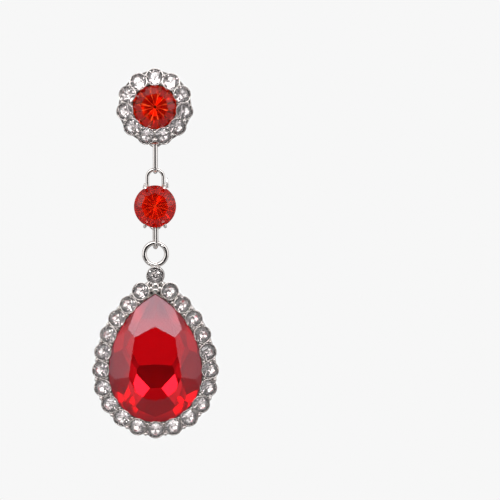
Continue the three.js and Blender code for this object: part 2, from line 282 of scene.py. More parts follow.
def math_node(nodes: Nodes, operation: str, *numbers: float) -> Node:
    """A math node whose first input is left free and whose next ones are given."""
    node = nodes.new("ShaderNodeMath")
    node.operation = operation
    return with_values(node, dict(enumerate(numbers, start=1)))


def colour_between(nodes: Nodes, first: tuple, second: tuple) -> Node:
    """A node that mixes two colours by its Factor."""
    mix = nodes.new("ShaderNodeMix")
    mix.data_type = "RGBA"
    return with_values(mix, {"A": (*first, 1.0), "B": (*second, 1.0)})


def value_between(nodes: Nodes, low: float, high: float) -> Node:
    """A node that carries 0 to 1 over to a range."""
    return with_values(nodes.new("ShaderNodeMapRange"), {"To Min": low, "To Max": high})


def surface_group() -> NodeTree:
    """The shared effect of handled metal and glass: cloudy polish, fine scratches and a relief.

    Returns:
        A node group with Scale and Vector in, and Cloud, Scratch and Height out.
    """
    group = bpy.data.node_groups.new("handled_surface", "ShaderNodeTree")
    add = group.interface.new_socket
    add("Scale", in_out="INPUT", socket_type="NodeSocketFloat").default_value = 600.0
    add("Vector", in_out="INPUT", socket_type="NodeSocketVector")
    for name in ("Cloud", "Scratch", "Height"):
        add(name, in_out="OUTPUT", socket_type="NodeSocketFloat")
    nodes = group.nodes
    source, sink = nodes.new("NodeGroupInput"), nodes.new("NodeGroupOutput")
    cloud = with_values(nodes.new("ShaderNodeTexNoise"), {"Detail": 3.0})
    finer = math_node(nodes, "MULTIPLY", 4.0)
    scratch = with_values(nodes.new("ShaderNodeTexNoise"), {"Detail": 2.0})
    stretch = with_values(nodes.new("ShaderNodeVectorMath"), {1: (1.0, 1.0, 7.0)})
    stretch.operation = "MULTIPLY"
    sharp = with_values(nodes.new("ShaderNodeMapRange"), {"From Min": 0.62, "From Max": 0.74})
    relief = math_node(nodes, "MULTIPLY_ADD", -0.3)
    joined(
        group.links,
        (source, "Vector", "Vector", cloud, "Fac", "Cloud", sink),
        (source, "Scale", "Scale", cloud, "Fac", 2, relief),
        (source, "Vector", 0, stretch, 0, "Vector", scratch),
        (source, "Scale", 0, finer, 0, "Scale", scratch),
        (scratch, "Fac", "Value", sharp, "Result", "Scratch", sink),
        (sharp, "Result", 0, relief, 0, "Height", sink),
    )
    return group


def blank_material(name: str) -> tuple[Material, Node]:
    """A new material and its Principled shader."""
    material = bpy.data.materials.new(name)
    material.use_nodes = True
    return material, material.node_tree.nodes["Principled BSDF"]


def surfaced(name: str, group: NodeTree, scale: float) -> tuple[Material, Node, Node]:
    """A material, its shader and the shared effect's node, in the object's own coordinates."""
    material, shader = blank_material(name)
    nodes, links = material.node_tree.nodes, material.node_tree.links
    place, effect = nodes.new("ShaderNodeTexCoord"), nodes.new("ShaderNodeGroup")
    effect.node_tree = group
    with_values(effect, {"Scale": scale})
    joined(links, (place, "Object", "Vector", effect))
    return material, shader, effect


@dataclass(frozen=True)
class Plate:
    """Bright plated metal."""

    name: str = "bright_plate"
    light: Colour = (0.84, 0.8, 0.78)
    deep: Colour = (0.6, 0.56, 0.54)
    rough: tuple[float, float] = (0.13, 0.3)
    scale: float = 900.0
    relief: float = 0.12
    relief_depth: float = 0.02

    def material(self, group: NodeTree) -> Material:
        """Cloudy bright metal, a little duller along its scratches.

        Args:
            group: the shared surface effect.

        Returns:
            The material.
        """
        material, shader, effect = surfaced(self.name, group, self.scale)
        nodes = material.node_tree.nodes
        tint = colour_between(nodes, self.deep, self.light)
        dull = value_between(nodes, *self.rough)
        depth = {"Strength": self.relief, "Distance": self.relief_depth * MM}
        bump = with_values(nodes.new("ShaderNodeBump"), depth)
        joined(
            material.node_tree.links,
            (effect, "Cloud", "Factor", tint, "Result", "Base Color", shader),
            (effect, "Scratch", "Value", dull, "Result", "Roughness", shader),
            (effect, "Height", "Height", bump, "Normal", "Normal", shader),
        )
        with_values(shader, {"Metallic": 1.0})
        return material


@dataclass(frozen=True)
class CutGlass:
    """Foil-backed cut glass: a clear front and a mirrored back seen through it."""

    name: str
    body: Colour
    foil: Colour
    foil_deep: Colour
    # light: the paler colour of the foil's edges, a painted highlight.
    light: Colour = (0.95, 0.95, 0.95)
    ior: float = 1.56
    foil_rough: float = 0.06
    foil_metal: float = 1.0
    sheen: Colour = (1.0, 1.0, 1.0)
    patch: float = 260.0
    marks: float = 1500.0
    grain: float = 2200.0
    cloud: float = 0.3
    edge_metal: float = 0.6
    edge_rough: float = 0.45

    def materials(self, group: NodeTree) -> list[Material]:
        """The front, the foil and the foil's edges, in the order of a stone's slots."""
        return [self.front(group), self.back(group), self.edge(group)]

    def front(self, group: NodeTree) -> Material:
        """The polished front: see-through, with faint marks of handling."""
        material, shader, effect = surfaced(self.name + "_front", group, self.marks)
        dull = value_between(material.node_tree.nodes, 0.0, 0.05)
        links = material.node_tree.links
        joined(links, (effect, "Scratch", "Value", dull, "Result", "Roughness", shader))
        glass = {"Base Color": (*self.body, 1.0), "Transmission Weight": 1.0, "IOR": self.ior}
        with_values(shader, glass | {"Specular Tint": (*self.sheen, 1.0)})
        return material

    def back(self, group: NodeTree) -> Material:
        """The foil behind the glass, a coloured mirror whose tone each face keeps; where the tone is
        given by a facet's turn it is painted light and shade.
        """
        material, shader, effect = surfaced(self.name + "_foil", group, self.patch)
        nodes = material.node_tree.nodes
        tone = nodes.new("ShaderNodeAttribute")
        tone.attribute_name = TONE
        both = math_node(nodes, "MULTIPLY_ADD", self.cloud)
        tint = colour_between(nodes, self.foil_deep, self.foil)
        joined(
            material.node_tree.links,
            (effect, "Cloud", 0, both, 0, "Factor", tint, "Result", "Base Color", shader),
            (tone, "Fac", 2, both),
        )
        with_values(shader, {"Metallic": self.foil_metal, "Roughness": self.foil_rough})
        return material

    def edge(self, group: NodeTree) -> Material:
        """The rounded edges between the foil's facets, coloured paler than the foil as a painted
        highlight; their rounding and roughness also catch real light from all sides.
        """
        material, shader, effect = surfaced(self.name + "_edges_painted_highlight", group, self.grain)
        # The edges mix from the foil towards a paler colour: a painted highlight along the ridges.
        tint = colour_between(material.node_tree.nodes, self.foil, self.light)
        links = material.node_tree.links
        joined(links, (effect, "Cloud", "Factor", tint, "Result", "Base Color", shader))
        with_values(shader, {"Metallic": self.edge_metal, "Roughness": self.edge_rough})
        return material


@dataclass(frozen=True)
class Finishes:
    """Every material of the earring."""

    plate: Material
    clear: list[Material]
    orange: list[Material]
    red: list[Material]


def make_finishes() -> Finishes:
    """The earring's materials, each built once."""
    group = surface_group()
    # The fourth colour of a glass is that of its foil's edges, a painted highlight.
    clear = CutGlass(
        "clear", (1.0, 0.98, 0.98), (1.0, 0.97, 0.97), (0.84, 0.8, 0.8), ior=1.6,
        foil_metal=0.88, foil_rough=0.03,
    )
    orange = CutGlass(
        "orange_red", (1.0, 0.09, 0.02), (1.0, 0.2, 0.06), (0.72, 0.05, 0.015), (1.0, 0.8, 0.7),
        ior=1.4, foil_metal=0.6, foil_rough=0.12,
    )
    red = CutGlass(
        "deep_red", (0.97, 0.05, 0.09), (0.98, 0.16, 0.2), (0.6, 0.006, 0.03), (1.0, 0.6, 0.6),
        foil_metal=0.6, foil_rough=0.08, sheen=(0.96, 0.88, 1.0),
    )
    sets = [glass.materials(group) for glass in (clear, orange, red)]
    return Finishes(Plate().material(group), *sets)


def plated(name: str, shells: list[Shell], finishes: Finishes, node: str, body: str) -> None:
    """Puts shells in a node's place as one piece of plated metal."""
    stands_for(piece(name, shells, [finishes.plate]), node, body)


# Cut stones


def box_mm(node: str) -> tuple[Array, Array]:
    """A node's lowest and highest corners in millimetres."""
    low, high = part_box(node)
    return np.array(low) / MM, np.array(high) / MM


@dataclass(frozen=True)
class Seat:
    """Where a stone sits: the middle of its girdle's front edge and the way it faces."""

    centre: Array
    front: Array

    @staticmethod
    def of_small_stone(node: str) -> "Seat":
        """Reads a small stone's seat from its CAD node: it faces the thinnest way through it."""
        mesh = bpy.data.objects[node].data
        corners = np.empty(len(mesh.vertices) * 3)
        mesh.vertices.foreach_get("co", corners)
        corners = np.unique(np.round(corners.reshape(-1, 3) / MM, 4), axis=0)
        middle = corners.mean(axis=0)
        front = np.linalg.svd(corners - middle)[2][2]
        front = front * (-1.0 if front[1] > 0 else 1.0)
        return Seat(middle - SEAT_BEHIND * front, front)


@dataclass(frozen=True)
class RoundCut:
    """Proportions of a round brilliant cut, front to back."""

    radius: float
    crown: float
    girdle: float
    pavilion: float
    table: float
    facets: int = 8

    def corners(self, seat: Seat, roll: float) -> Array:
        """Rings of corners: table, star, girdle, lower girdle and point.

        Args:
            seat: where the stone sits.
            roll: turn about its own axis, in radians.

        Returns:
            The corners as an array of points.
        """
        half = 0.5
        rings = [
            (self.facets, 0.0, self.table, -self.crown),
            (self.facets, half, (1 + self.table) / 2 + 0.04, -0.54 * self.crown),
            (2 * self.facets, 0.0, 1.0, 0.0),
            (2 * self.facets, 0.0, 1.0, self.girdle),
            (self.facets, half, 0.5, self.girdle + 0.56 * self.pavilion),
            (1, 0.0, 0.0, self.girdle + self.pavilion),
        ]
        made = []
        for count, shift, share, y in rings:
            a = 2 * np.pi * (np.arange(count) + shift) / count + roll
            ring = self.radius * share * spokes(seat.front, a)
            made.append(seat.centre + ring - y * seat.front)
        return np.concatenate(made)


@dataclass(frozen=True)
class Facet:
    """A flat cut: the way it faces round the stone, its slope, and how far it is cut in."""

    turn: float
    slope: float
    inset: float = 0.0


def cut(shape: BMesh, normal: tuple, at: tuple) -> None:
    """Takes off what lies in front of a plane through a point, and closes the wound."""
    geometry = [*shape.verts, *shape.edges, *shape.faces]
    found = bmesh.ops.bisect_plane(
        shape, geom=geometry, plane_co=at, plane_no=normal, dist=1e-6, clear_outer=True
    )
    edges = [e for e in found["geom_cut"] if isinstance(e, BMEdge)]
    if edges:
        bmesh.ops.contextual_create(shape, geom=edges)


def facetted(
    outline: Array, table: float, front: list[Facet], back: list[Facet], girdle: float, depth: float
) -> BMesh:
    """A stone cut out of a straight block by planes, its front towards -Y.

    A facet touches the girdle's edge on its own side, or lies inside it by its inset: the
    plane's distance from the middle is the outline's reach that way.

    Args:
        outline: pairs of x and z round the girdle.
        table: height of the table over the girdle.
        front: facets of the crown.
        back: facets of the pavilion.
        girdle: thickness of the girdle.
        depth: of the point behind.

    Returns:
        The cut stone in millimetres.
    """
    shape = bmesh.new()
    rings = []
    for y in (-table, girdle + depth + SPARE):
        rings.append([shape.verts.new((x, y, z)) for x, z in outline.tolist()])
    shape.faces.new(rings[0])
    shape.faces.new(rings[1][::-1])
    for i, first in enumerate(rings[0]):
        j = (i + 1) % len(outline)
        shape.faces.new((first, rings[1][i], rings[1][j], rings[0][j]))
    bmesh.ops.recalc_face_normals(shape, faces=shape.faces)
    for facets, sign, edge in ((front, -1.0, 0.0), (back, 1.0, girdle)):
        for facet in facets:
            way = np.array([math.cos(facet.turn), math.sin(facet.turn)])
            touch = outline[np.argmax(outline @ way)]
            lean = math.atan(facet.slope)
            out = way * math.sin(lean)
            at = (touch[0], edge + facet.inset, touch[1])
            cut(shape, (out[0], sign * math.cos(lean), out[1]), at)
    return shape


def hull_of(corners: Array) -> BMesh:
    """The convex solid over a stone's corners."""
    shape = bmesh.new()
    verts = [shape.verts.new(p) for p in corners.tolist()]
    hull = bmesh.ops.convex_hull(shape, input=verts)
    spare = [v for v in hull["geom_interior"] if isinstance(v, BMVert)]
    bmesh.ops.delete(shape, geom=spare, context="VERTS")
    return shape


def foil_tone(face: BMFace, facing: Vector, painted_light_tones: dict[int, float] | None, chance: float) -> float:
    """The foil's tone behind a face: the girdle's, the one given for the nearest turn, which is
    painted light and shade, or by chance.
    """
    if abs(face.normal.dot(facing)) < LEVEL:
        return GIRDLE_TONE
    if not painted_light_tones:
        return chance
    turn = math.degrees(math.atan2(face.normal.z, abs(face.normal.x)))
    return painted_light_tones[min(painted_light_tones, key=lambda given: abs(given - turn))]


def gem(
    name: str, shape: BMesh, front: Array, materials: list[Material],
    centre: Array | None = None, edge: float = 0.0, painted_light_tones: dict[int, float] | None = None,
) -> Object:
    """A cut stone in the scene, its back faces in the foil's material.

    Args:
        name: the object's name.
        shape: the stone in millimetres.
        front: the way that the stone faces.
        materials: the front's material, the foil's and that of the foil's edges.
        centre: where the shape's own zero goes, if it isn't in its place already.
        edge: width of the rounding of the edges behind.
        painted_light_tones: painted light and shade, the foil's tone set by the turn of a facet to
            stand for how
        light falls on it, in whole degrees up from the nearer side, where they aren't left to
        chance.

    Returns:
        The stone.
    """
    flat = math.radians(SAME_CUT)
    bmesh.ops.dissolve_limit(shape, angle_limit=flat, verts=shape.verts, edges=shape.edges)
    bmesh.ops.recalc_face_normals(shape, faces=shape.faces)
    if centre is not None:
        bmesh.ops.translate(shape, verts=shape.verts, vec=centre)
    bmesh.ops.scale(shape, verts=shape.verts, vec=(MM, MM, MM))
    facing = Vector(front)
    for face in shape.faces:
        face.smooth = False
        face.material_index = 0 if face.normal.dot(facing) > LEVEL else 1
    if edge:
        behind = -2 * LEVEL
        ridges = [e for e in shape.edges if all(f.normal.dot(facing) < behind for f in e.link_faces)]
        round_off = bmesh.ops.bevel(
            shape, geom=ridges, offset=edge * MM, segments=1, affect="EDGES", clamp_overlap=True
        )
        for face in round_off["faces"]:
            face.material_index = 2
    layer = shape.faces.layers.float.new(TONE)
    dice = np.random.default_rng(len(shape.faces) + SEED)
    for face, chance in zip(shape.faces, dice.choice(CHANCE_TONES, len(shape.faces))):
        face[layer] = foil_tone(face, facing, painted_light_tones, chance)
    mesh = bpy.data.meshes.new(name)
    shape.to_mesh(mesh)
    shape.free()
    return placed(name, mesh, materials)


@dataclass(frozen=True)
class RoundStone:
    """A round stone with a table, eight main facets in front and twelve behind."""

    radius: float
    crown: float = 0.95
    girdle: float = 0.14
    pavilion: float = 2.3
    table: float = 0.6
    ridge: float = 0.05
    front: int = 8
    back: int = 12

    def cut(self, roll: float) -> BMesh:
        """Cuts the stone.

        Args:
            roll: turn about its own axis, in radians.

        Returns:
            The stone in millimetres, about the middle of its girdle's front edge.
        """
        a = np.linspace(0.0, 2 * np.pi, 96, endpoint=False)
        outline = np.stack([np.cos(a), np.sin(a)], axis=1) * self.radius
        slope = self.crown / (self.radius * (1 - self.table))
        step = 2 * math.pi / self.front
        mains = [Facet(roll + i * step, slope) for i in range(self.front)]
        breaks = [Facet(roll + (i + 0.5) * step, 1.25 * slope) for i in range(self.front)]
        step = 2 * math.pi / self.back
        behind = [Facet(i * step, self.pavilion / self.radius) for i in range(self.back)]
        return facetted(outline, self.crown, mains + breaks, behind, self.girdle, self.pavilion)

    def set_in(self, node: str, body: str, roll: float, finishes: Finishes) -> Array:
        """Cuts the stone and puts it in a node's place.

        Args:
            node: the CAD node.
            body: the body that it rides on.
            roll: turn about its own axis, in radians.
            finishes: the earring's materials.

        Returns:
            The middle of its girdle's front edge.
        """
        low, high = box_mm(node)
        centre = np.array([0.0, low[1] + self.crown, (low[2] + high[2]) / 2])
        name = node.replace("stone", "gem")
        made = gem(name, self.cut(roll), FRONT, finishes.orange, centre, self.ridge)
        stands_for(made, node, body)
        return centre


# The pear


@dataclass(frozen=True)
class Pear:
    """The pear's edge: half an ellipse below its widest line and two arcs that meet in a tip."""

    half: float = 6.5
    up: float = 11.04
    down: float = 6.83
    crown: float = 1.7
    girdle: float = 0.22
    pavilion: float = 3.1

    def edge(self, count: int, out: float = 0.0) -> Array:
        """Points at equal steps along the edge moved out, from the tip round by the right side.

        The arcs have their middles on the widest line, and each is drawn with a radius made
        larger by the amount moved out. The ellipse has both half-axes made larger by it.

        Args:
            count: how many points.
            out: how far the edge is moved out.

        Returns:
            Pairs of x and z measured from the middle of the widest line.
        """
        inner = (self.up**2 - self.half**2) / (2 * self.half)
        radius = inner + self.half + out
        top = np.arccos(inner / radius)
        a = np.linspace(top, 0.0, 400)
        right = np.stack([-inner + radius * np.cos(a), radius * np.sin(a)], axis=1)
        b = np.linspace(0.0, -np.pi, 400)[1:-1]
        low = np.stack([(self.half + out) * np.cos(b), (self.down + out) * np.sin(b)], axis=1)
        left = right[::-1] * [-1.0, 1.0]
        line = np.concatenate([right, low, left])
        run = np.concatenate([[0], np.cumsum(np.linalg.norm(np.diff(line, axis=0), axis=1))])
        at = np.arange(count) / count * run[-1]
        return np.stack([np.interp(at, run, line[:, k]) for k in range(2)], axis=1)

    def spots(self, seats: list[Seat], centre: Array, out: float) -> list[Array]:
        """Places between neighbouring small stones, on the edge moved out by an amount."""
        line = centre + np.insert(self.edge(1200, out), 1, 0.0, axis=1)
        made = []
        for first, second in zip(seats, seats[1:]):
            middle = (first.centre + second.centre) / 2
            near = line[np.argmin(np.linalg.norm((line - middle)[:, [0, 2]], axis=1))]
            made.append(np.array([near[0], middle[1], near[2]]))
        return made

    def turned(self, profile: Array, centre: Array, steps: int, ring: bool = False) -> Shell:
        """A profile carried round the pear: point = centre + size * edge(out), moved back by y.

        Args:
            profile: rows of out, size and y, from the middle of the back to that of the front.
            centre: the middle of the pear's widest line at the girdle's front edge.
            steps: points along the edge.
            ring: whether the profile's last row joins its first, for a body with a hole.

        Returns:
            The closed shell.
        """
        rings = [np.insert(self.edge(steps, out) * size, 1, y, axis=1) for out, size, y in profile]
        points = centre + np.stack(rings, axis=1)
        return Shell(points.reshape(-1, 3), grid_faces(steps, len(profile), True, ring))

    def stone(self) -> BMesh:
        """The pear cut, alike on both sides.

        In front lie five large facets a side and smaller ones where they meet, as rows of turn
        in degrees and slope. Behind, rows of turn, slope and inset hold the keel down the
        middle, the sides, and the rim next to the girdle.

        Returns:
            The stone in millimetres, about the middle of its widest line.
        """
        mains = [(62, 0.444), (9, 0.572), (-26, 0.56), (-53, 0.54), (-80, 0.53)]
        breaks = [(35, 1.2), (-9, 0.8), (-40, 0.78), (-67, 0.76), (-90, 0.76)]
        keel = [(84, 0.264, 0.0), (-90, 0.12, 1.64), (-62, 0.27, 1.0), (-90, 0.34, 0.62)]
        sides = [(50, 0.5, 0.0), (30, 0.42, 0.85), (12, 0.4, 0.92), (-6, 0.64, 0.0)]
        sides += [(-24, 0.36, 1.0), (-44, 0.4, 0.72)]
        rim = [(turn, 0.85, 0.0) for turn in (53, 27, 0, -27, -52, -74)]
        crown, behind = [
            [Facet(math.radians(a), *cut_in) for turn, *cut_in in rows for a in {turn, 180 - turn}]
            for rows in (mains + breaks, keel + sides + rim)
        ]
        return facetted(self.edge(96), self.crown, crown, behind, self.girdle, self.pavilion)


# Sub-assemblies


def arc(middle: Array, radius: float, a: Array) -> Array:
    """Points of a circle that faces the front, at angles up from the right side."""
    return np.insert(np.stack([np.cos(a), np.sin(a)], axis=1) * radius, 1, 0.0, axis=1) + middle


def ring(middle: Array, radius: float, thick: float, steps: int, sides: int) -> Shell:
    """A closed ring of round wire that faces the front."""
    a = np.linspace(0.0, 2 * np.pi, steps, endpoint=False)
    return wire(arc(middle, radius, a), FRONT, thick, sides, True)


def oval(length: float, half: float, count: int) -> Array:
    """Pairs of across and up along a link's wire: two half circles joined by straight sides."""
    a = np.linspace(0.0, np.pi, count)
    top = np.stack([half * np.cos(a), half * np.sin(a) + length / 2 - half], axis=1)
    return np.concatenate([top, -top])


@dataclass(frozen=True)
class SmallStones:
    """The clear stones of a halo and the cups they sit in."""

    cut: RoundCut = RoundCut(1.07, 0.36, 0.08, 0.74, 0.56)
    depth: float = 1.9
    gap: float = 0.05
    lip: float = 0.17
    sink: float = 0.12
    steps: int = 28

    def cup(self, seat: Seat) -> Shell:
        """A cup with a rounded rim and a pointed floor, round a stone's seat."""
        inner = self.cut.radius + self.gap
        outer = inner + self.lip
        a = np.linspace(0.0, np.pi, 7)
        middle, half = (inner + outer) / 2, self.lip / 2
        rim = np.stack([middle + half * np.cos(a), -self.sink + half - half * np.sin(a)], axis=1)
        floor = self.cut.girdle + self.gap
        back = [[0.0, self.depth], [outer - 0.08, self.depth], [outer, self.depth - 0.08]]
        seat_wall = [[inner, floor], [0.0, floor + self.cut.pavilion + self.gap]]
        profile = np.concatenate([back, rim, seat_wall])
        return turned(profile, seat.centre, seat.front, self.steps)

    def plug(self, seat: Seat) -> Shell:
        """The room that a cup takes up, for cutting its place out of a band."""
        outer = self.cut.radius + self.gap + self.lip - 0.04
        low, high = self.depth - 0.1, -2.0
        profile = np.array([[0.0, low], [outer, low], [outer, high], [0.0, high]])
        return turned(profile, seat.centre, seat.front, self.steps)

    def stones(self, nodes: list[str], body: str, finishes: Finishes) -> list[Seat]:
        """Cuts one stone for each node and puts it in the node's place.

        Args:
            nodes: the CAD nodes of the stones.
            body: the body that they ride on.
            finishes: the earring's materials.

        Returns:
            Their seats.
        """
        seats = [Seat.of_small_stone(node) for node in nodes]
        rolls = np.random.default_rng(SEED).uniform(0.0, np.pi, len(nodes))
        for node, seat, roll in zip(nodes, seats, rolls):
            shape = hull_of(self.cut.corners(seat, roll))
            made = gem(node.replace("stone", "gem"), shape, seat.front, finishes.clear)
            stands_for(made, node, body)
        return seats


@dataclass(frozen=True)
class Stud:
    """The round stud with its halo, the loop under it and the post behind it."""

    stone: RoundStone = RoundStone(3.0)
    small: SmallStones = field(default_factory=SmallStones)
    halo: int = 11
    plate: float = 0.8
    plate_reach: float = 1.95
    band_reach: float = 2.1
    outer_beads: tuple[float, float] = (1.13, 0.3)
    inner_beads: tuple[float, float] = (0.86, 0.26)
    loop: float = 0.85
    loop_wire: float = 0.28
    loop_drop: float = 5.4
    chain_y: float = -0.95
    post: float = 0.42
    collar: float = 0.2
    groove: float = 1.9

    def build(self, finishes: Finishes) -> None:
        """Builds the stud's stones, metal and post."""
        nodes = [f"stud_halo_stone_{i + 1:02d}" for i in range(self.halo)]
        seats = self.small.stones(nodes, "stud", finishes)
        centre = self.stone.set_in("stud_stone", "stud", 0.2, finishes)
        metal = self.metal(seats, centre[1])
        plated("stud_metal", metal, finishes, "stud_setting", "stud")
        plated("post_pin", [self.pin()], finishes, "ear_post", "stud")

    def metal(self, seats: list[Seat], girdle: float) -> list[Shell]:
        """The back plate, the seat of the red stone, the cups, the beads and the loop.

        The profiles count forwards from the flat back, so their second numbers change sign.

        Args:
            seats: seats of the small stones.
            girdle: y of the red stone's girdle.

        Returns:
            The shells.
        """
        radius = self.stone.radius
        reach = radius + self.plate_reach
        plate = [[0, 0], [reach - 0.4, 0], [reach - 0.1, 0.1], [reach, 0.3]]
        plate += [[reach, self.plate], [0, self.plate]]
        lip, hole, rim = radius + self.collar, radius + 0.05, 0.12 - girdle
        seat = [[0, 0.2], [lip, 0.2], [lip, rim - 0.06], [lip - 0.05, rim], [hole, rim]]
        seat += [[hole, -girdle - 0.14], [0.2, -girdle - 2.3], [0, -girdle - 2.35]]
        flip, middle = np.array([1.0, -1.0]), np.zeros(3)
        shells = [turned(flip * p, middle, FRONT, 96) for p in (plate, seat)]
        reach = radius + self.band_reach
        band = [[radius + 0.1, 0.5], [reach - 0.2, 0.7], [reach, 0.9], [reach, 2.45]]
        band += [[reach - 0.1, 2.55], [radius + 0.1, 2.55]]
        whole = turned(flip * band, middle, FRONT, 96, True)
        shells.append(carve(whole, [self.small.plug(s) for s in seats]))
        shells += [self.small.cup(s) for s in seats]
        for share, radius in (self.outer_beads, self.inner_beads):
            shells += [ball(p, radius, FRONT) for p in between(seats, share)]
        low = np.array([0.0, self.chain_y, self.loop - self.loop_drop])
        return [*shells, ring(low, self.loop, self.loop_wire, 48, 14)]

    def pin(self) -> Shell:
        """The post: a round pin with a blunt tip and a groove near it."""
        low, high = box_mm("ear_post")
        r, tip, start = self.post, high[1], low[1]
        groove = tip - self.groove
        profile = [[0, tip], [r * 0.5, tip - 0.04], [r * 0.8, tip - 0.25], [r, tip - 0.6]]
        profile += [[r, groove + 0.3], [r - 0.08, groove + 0.18], [r - 0.1, groove]]
        profile += [[r - 0.08, groove - 0.18], [r, groove - 0.3], [r, start], [0, start]]
        return turned(np.array(profile), np.zeros(3), FRONT, 32)


def between(seats: list[Seat], share: float) -> list[Array]:
    """Places between neighbouring small stones, at a share of their distance from the middle."""
    at = np.stack([s.centre for s in seats])
    middle = at.mean(axis=0)
    spots = (at + np.roll(at, -1, axis=0)) / 2
    return list(middle + (spots - middle) * [share, 1.0, share])


@dataclass(frozen=True)
class ChainLink:
    """A closed link seen edge-on."""

    node: str
    length: float
    half: float
    wire: float
    turn: float = 0.0

    def build(self, finishes: Finishes) -> None:
        """Bends the link and puts it in its node's place."""
        low, high = box_mm(self.node)
        middle = (low + high) / 2
        flat = oval(self.length, self.half, 20)
        turn = math.radians(self.turn)
        side = np.array([-math.sin(turn), math.cos(turn), 0.0])
        path = middle + flat[:, :1] * side + flat[:, 1:] * [0.0, 0.0, 1.0]
        normal = np.cross(side, [0.0, 0.0, 1.0])
        shell = wire(path, normal, self.wire, 14, True)
        plated(self.node + "_wire", [shell], finishes, self.node, self.node)


@dataclass(frozen=True)
class Connector:
    """The middle stone in its pronged cup, with a loop over it and a loop under it."""

    stone: RoundStone = RoundStone(2.95)
    chain_y: float = -0.95
    wall: float = 0.34
    top_half: float = 1.12
    loop_wire: float = 0.26
    bottom_half: float = 0.8
    bottom_drop: float = 3.14
    top_over: float = 5.42
    prong: float = 0.23
    spread: float = 27.0
    tabs: tuple[tuple[float, float], ...] = ((-1.5, 0.75), (1.66, 1.45))
    tab_foot: float = 2.55

    def build(self, finishes: Finishes) -> None:
        """Builds the stone and its metal."""
        centre = self.stone.set_in("connector_stone", "connector", 0.4, finishes)
        metal = self.metal(centre)
        plated("connector_metal", metal, finishes, "connector_setting", "connector")

    def metal(self, centre: Array) -> list[Shell]:
        """The cup, its four claws, the two loops and the tabs beside the upper one.

        Args:
            centre: the middle of the stone's girdle at its front edge.

        Returns:
            The shells.
        """
        g, p = self.stone.girdle, self.stone.pavilion
        edge = self.stone.radius * 0.94
        profile = [[0, g + p + self.wall], [0.82, g + p + self.wall], [0.92, g + p + 0.26]]
        profile += [[edge, g + self.wall], [edge, g + 0.26], [edge - 0.04, g + 0.24]]
        profile += [[0, g + p + 0.08]]
        shells = [turned(np.array(profile), centre, FRONT, 64)]
        length = self.top_over - self.loop_wire - 1.2
        foot = 0.7 - length / 2
        arch = oval(length, self.top_half, 24)[:24]
        line = np.concatenate([[[self.top_half, foot]], arch, [[-self.top_half, foot]]])
        middle = [0.0, self.chain_y, centre[2] + self.top_over - self.loop_wire - length / 2]
        path = np.insert(line, 1, 0.0, axis=1) + middle
        shells.append(wire(path, FRONT, self.loop_wire, 14, False))
        low = [0.0, self.chain_y, centre[2] - self.bottom_drop + self.bottom_half]
        path = arc(np.array(low), self.bottom_half, np.linspace(np.pi * 0.95, np.pi * 2.05, 30))
        shells.append(wire(path, FRONT, self.loop_wire, 14, False))
        for turn in (self.spread, -self.spread, 180 + self.spread, 180 - self.spread):
            shells.append(self.claw(centre, math.radians(turn)))
        tab = np.array([[0, 0], [0.24, 0], [0.26, 0.2], [0.17, 0.5], [0.06, 0.95], [0, 1.0]])
        for beside, height in self.tabs:
            foot = np.array([beside, self.chain_y, centre[2] + self.tab_foot])
            shells.append(turned(tab * [1.0, height], foot, np.array([0.0, 0.0, -1.0]), 12))
        return shells

    def claw(self, centre: Array, turn: float) -> Shell:
        """One claw, up the side of the cup and over the stone's edge.

        Args:
            centre: the middle of the stone's girdle.
            turn: its place round the stone, in radians from the upright.

        Returns:
            The closed shell.
        """
        r, g = self.stone.radius, self.stone.girdle
        out = np.array([math.sin(turn), 0.0, math.cos(turn)])
        line = [[r - 0.45, g + 0.8], [r + 0.1, g + 0.2], [r + 0.24, g - 0.1]]
        line = np.array([*line, [r + 0.2, -0.25], [r - 0.02, -0.45], [r - 0.18, -0.5]])
        t = np.linspace(0.0, 1.0, len(line))
        fine = np.linspace(0.0, 1.0, 16)
        smooth = np.stack([np.interp(fine, t, line[:, k]) for k in range(2)], axis=1)
        path = centre + smooth[:, :1] * out - smooth[:, 1:] * FRONT
        return wire(path, np.cross(out, FRONT), self.prong, 10, False)


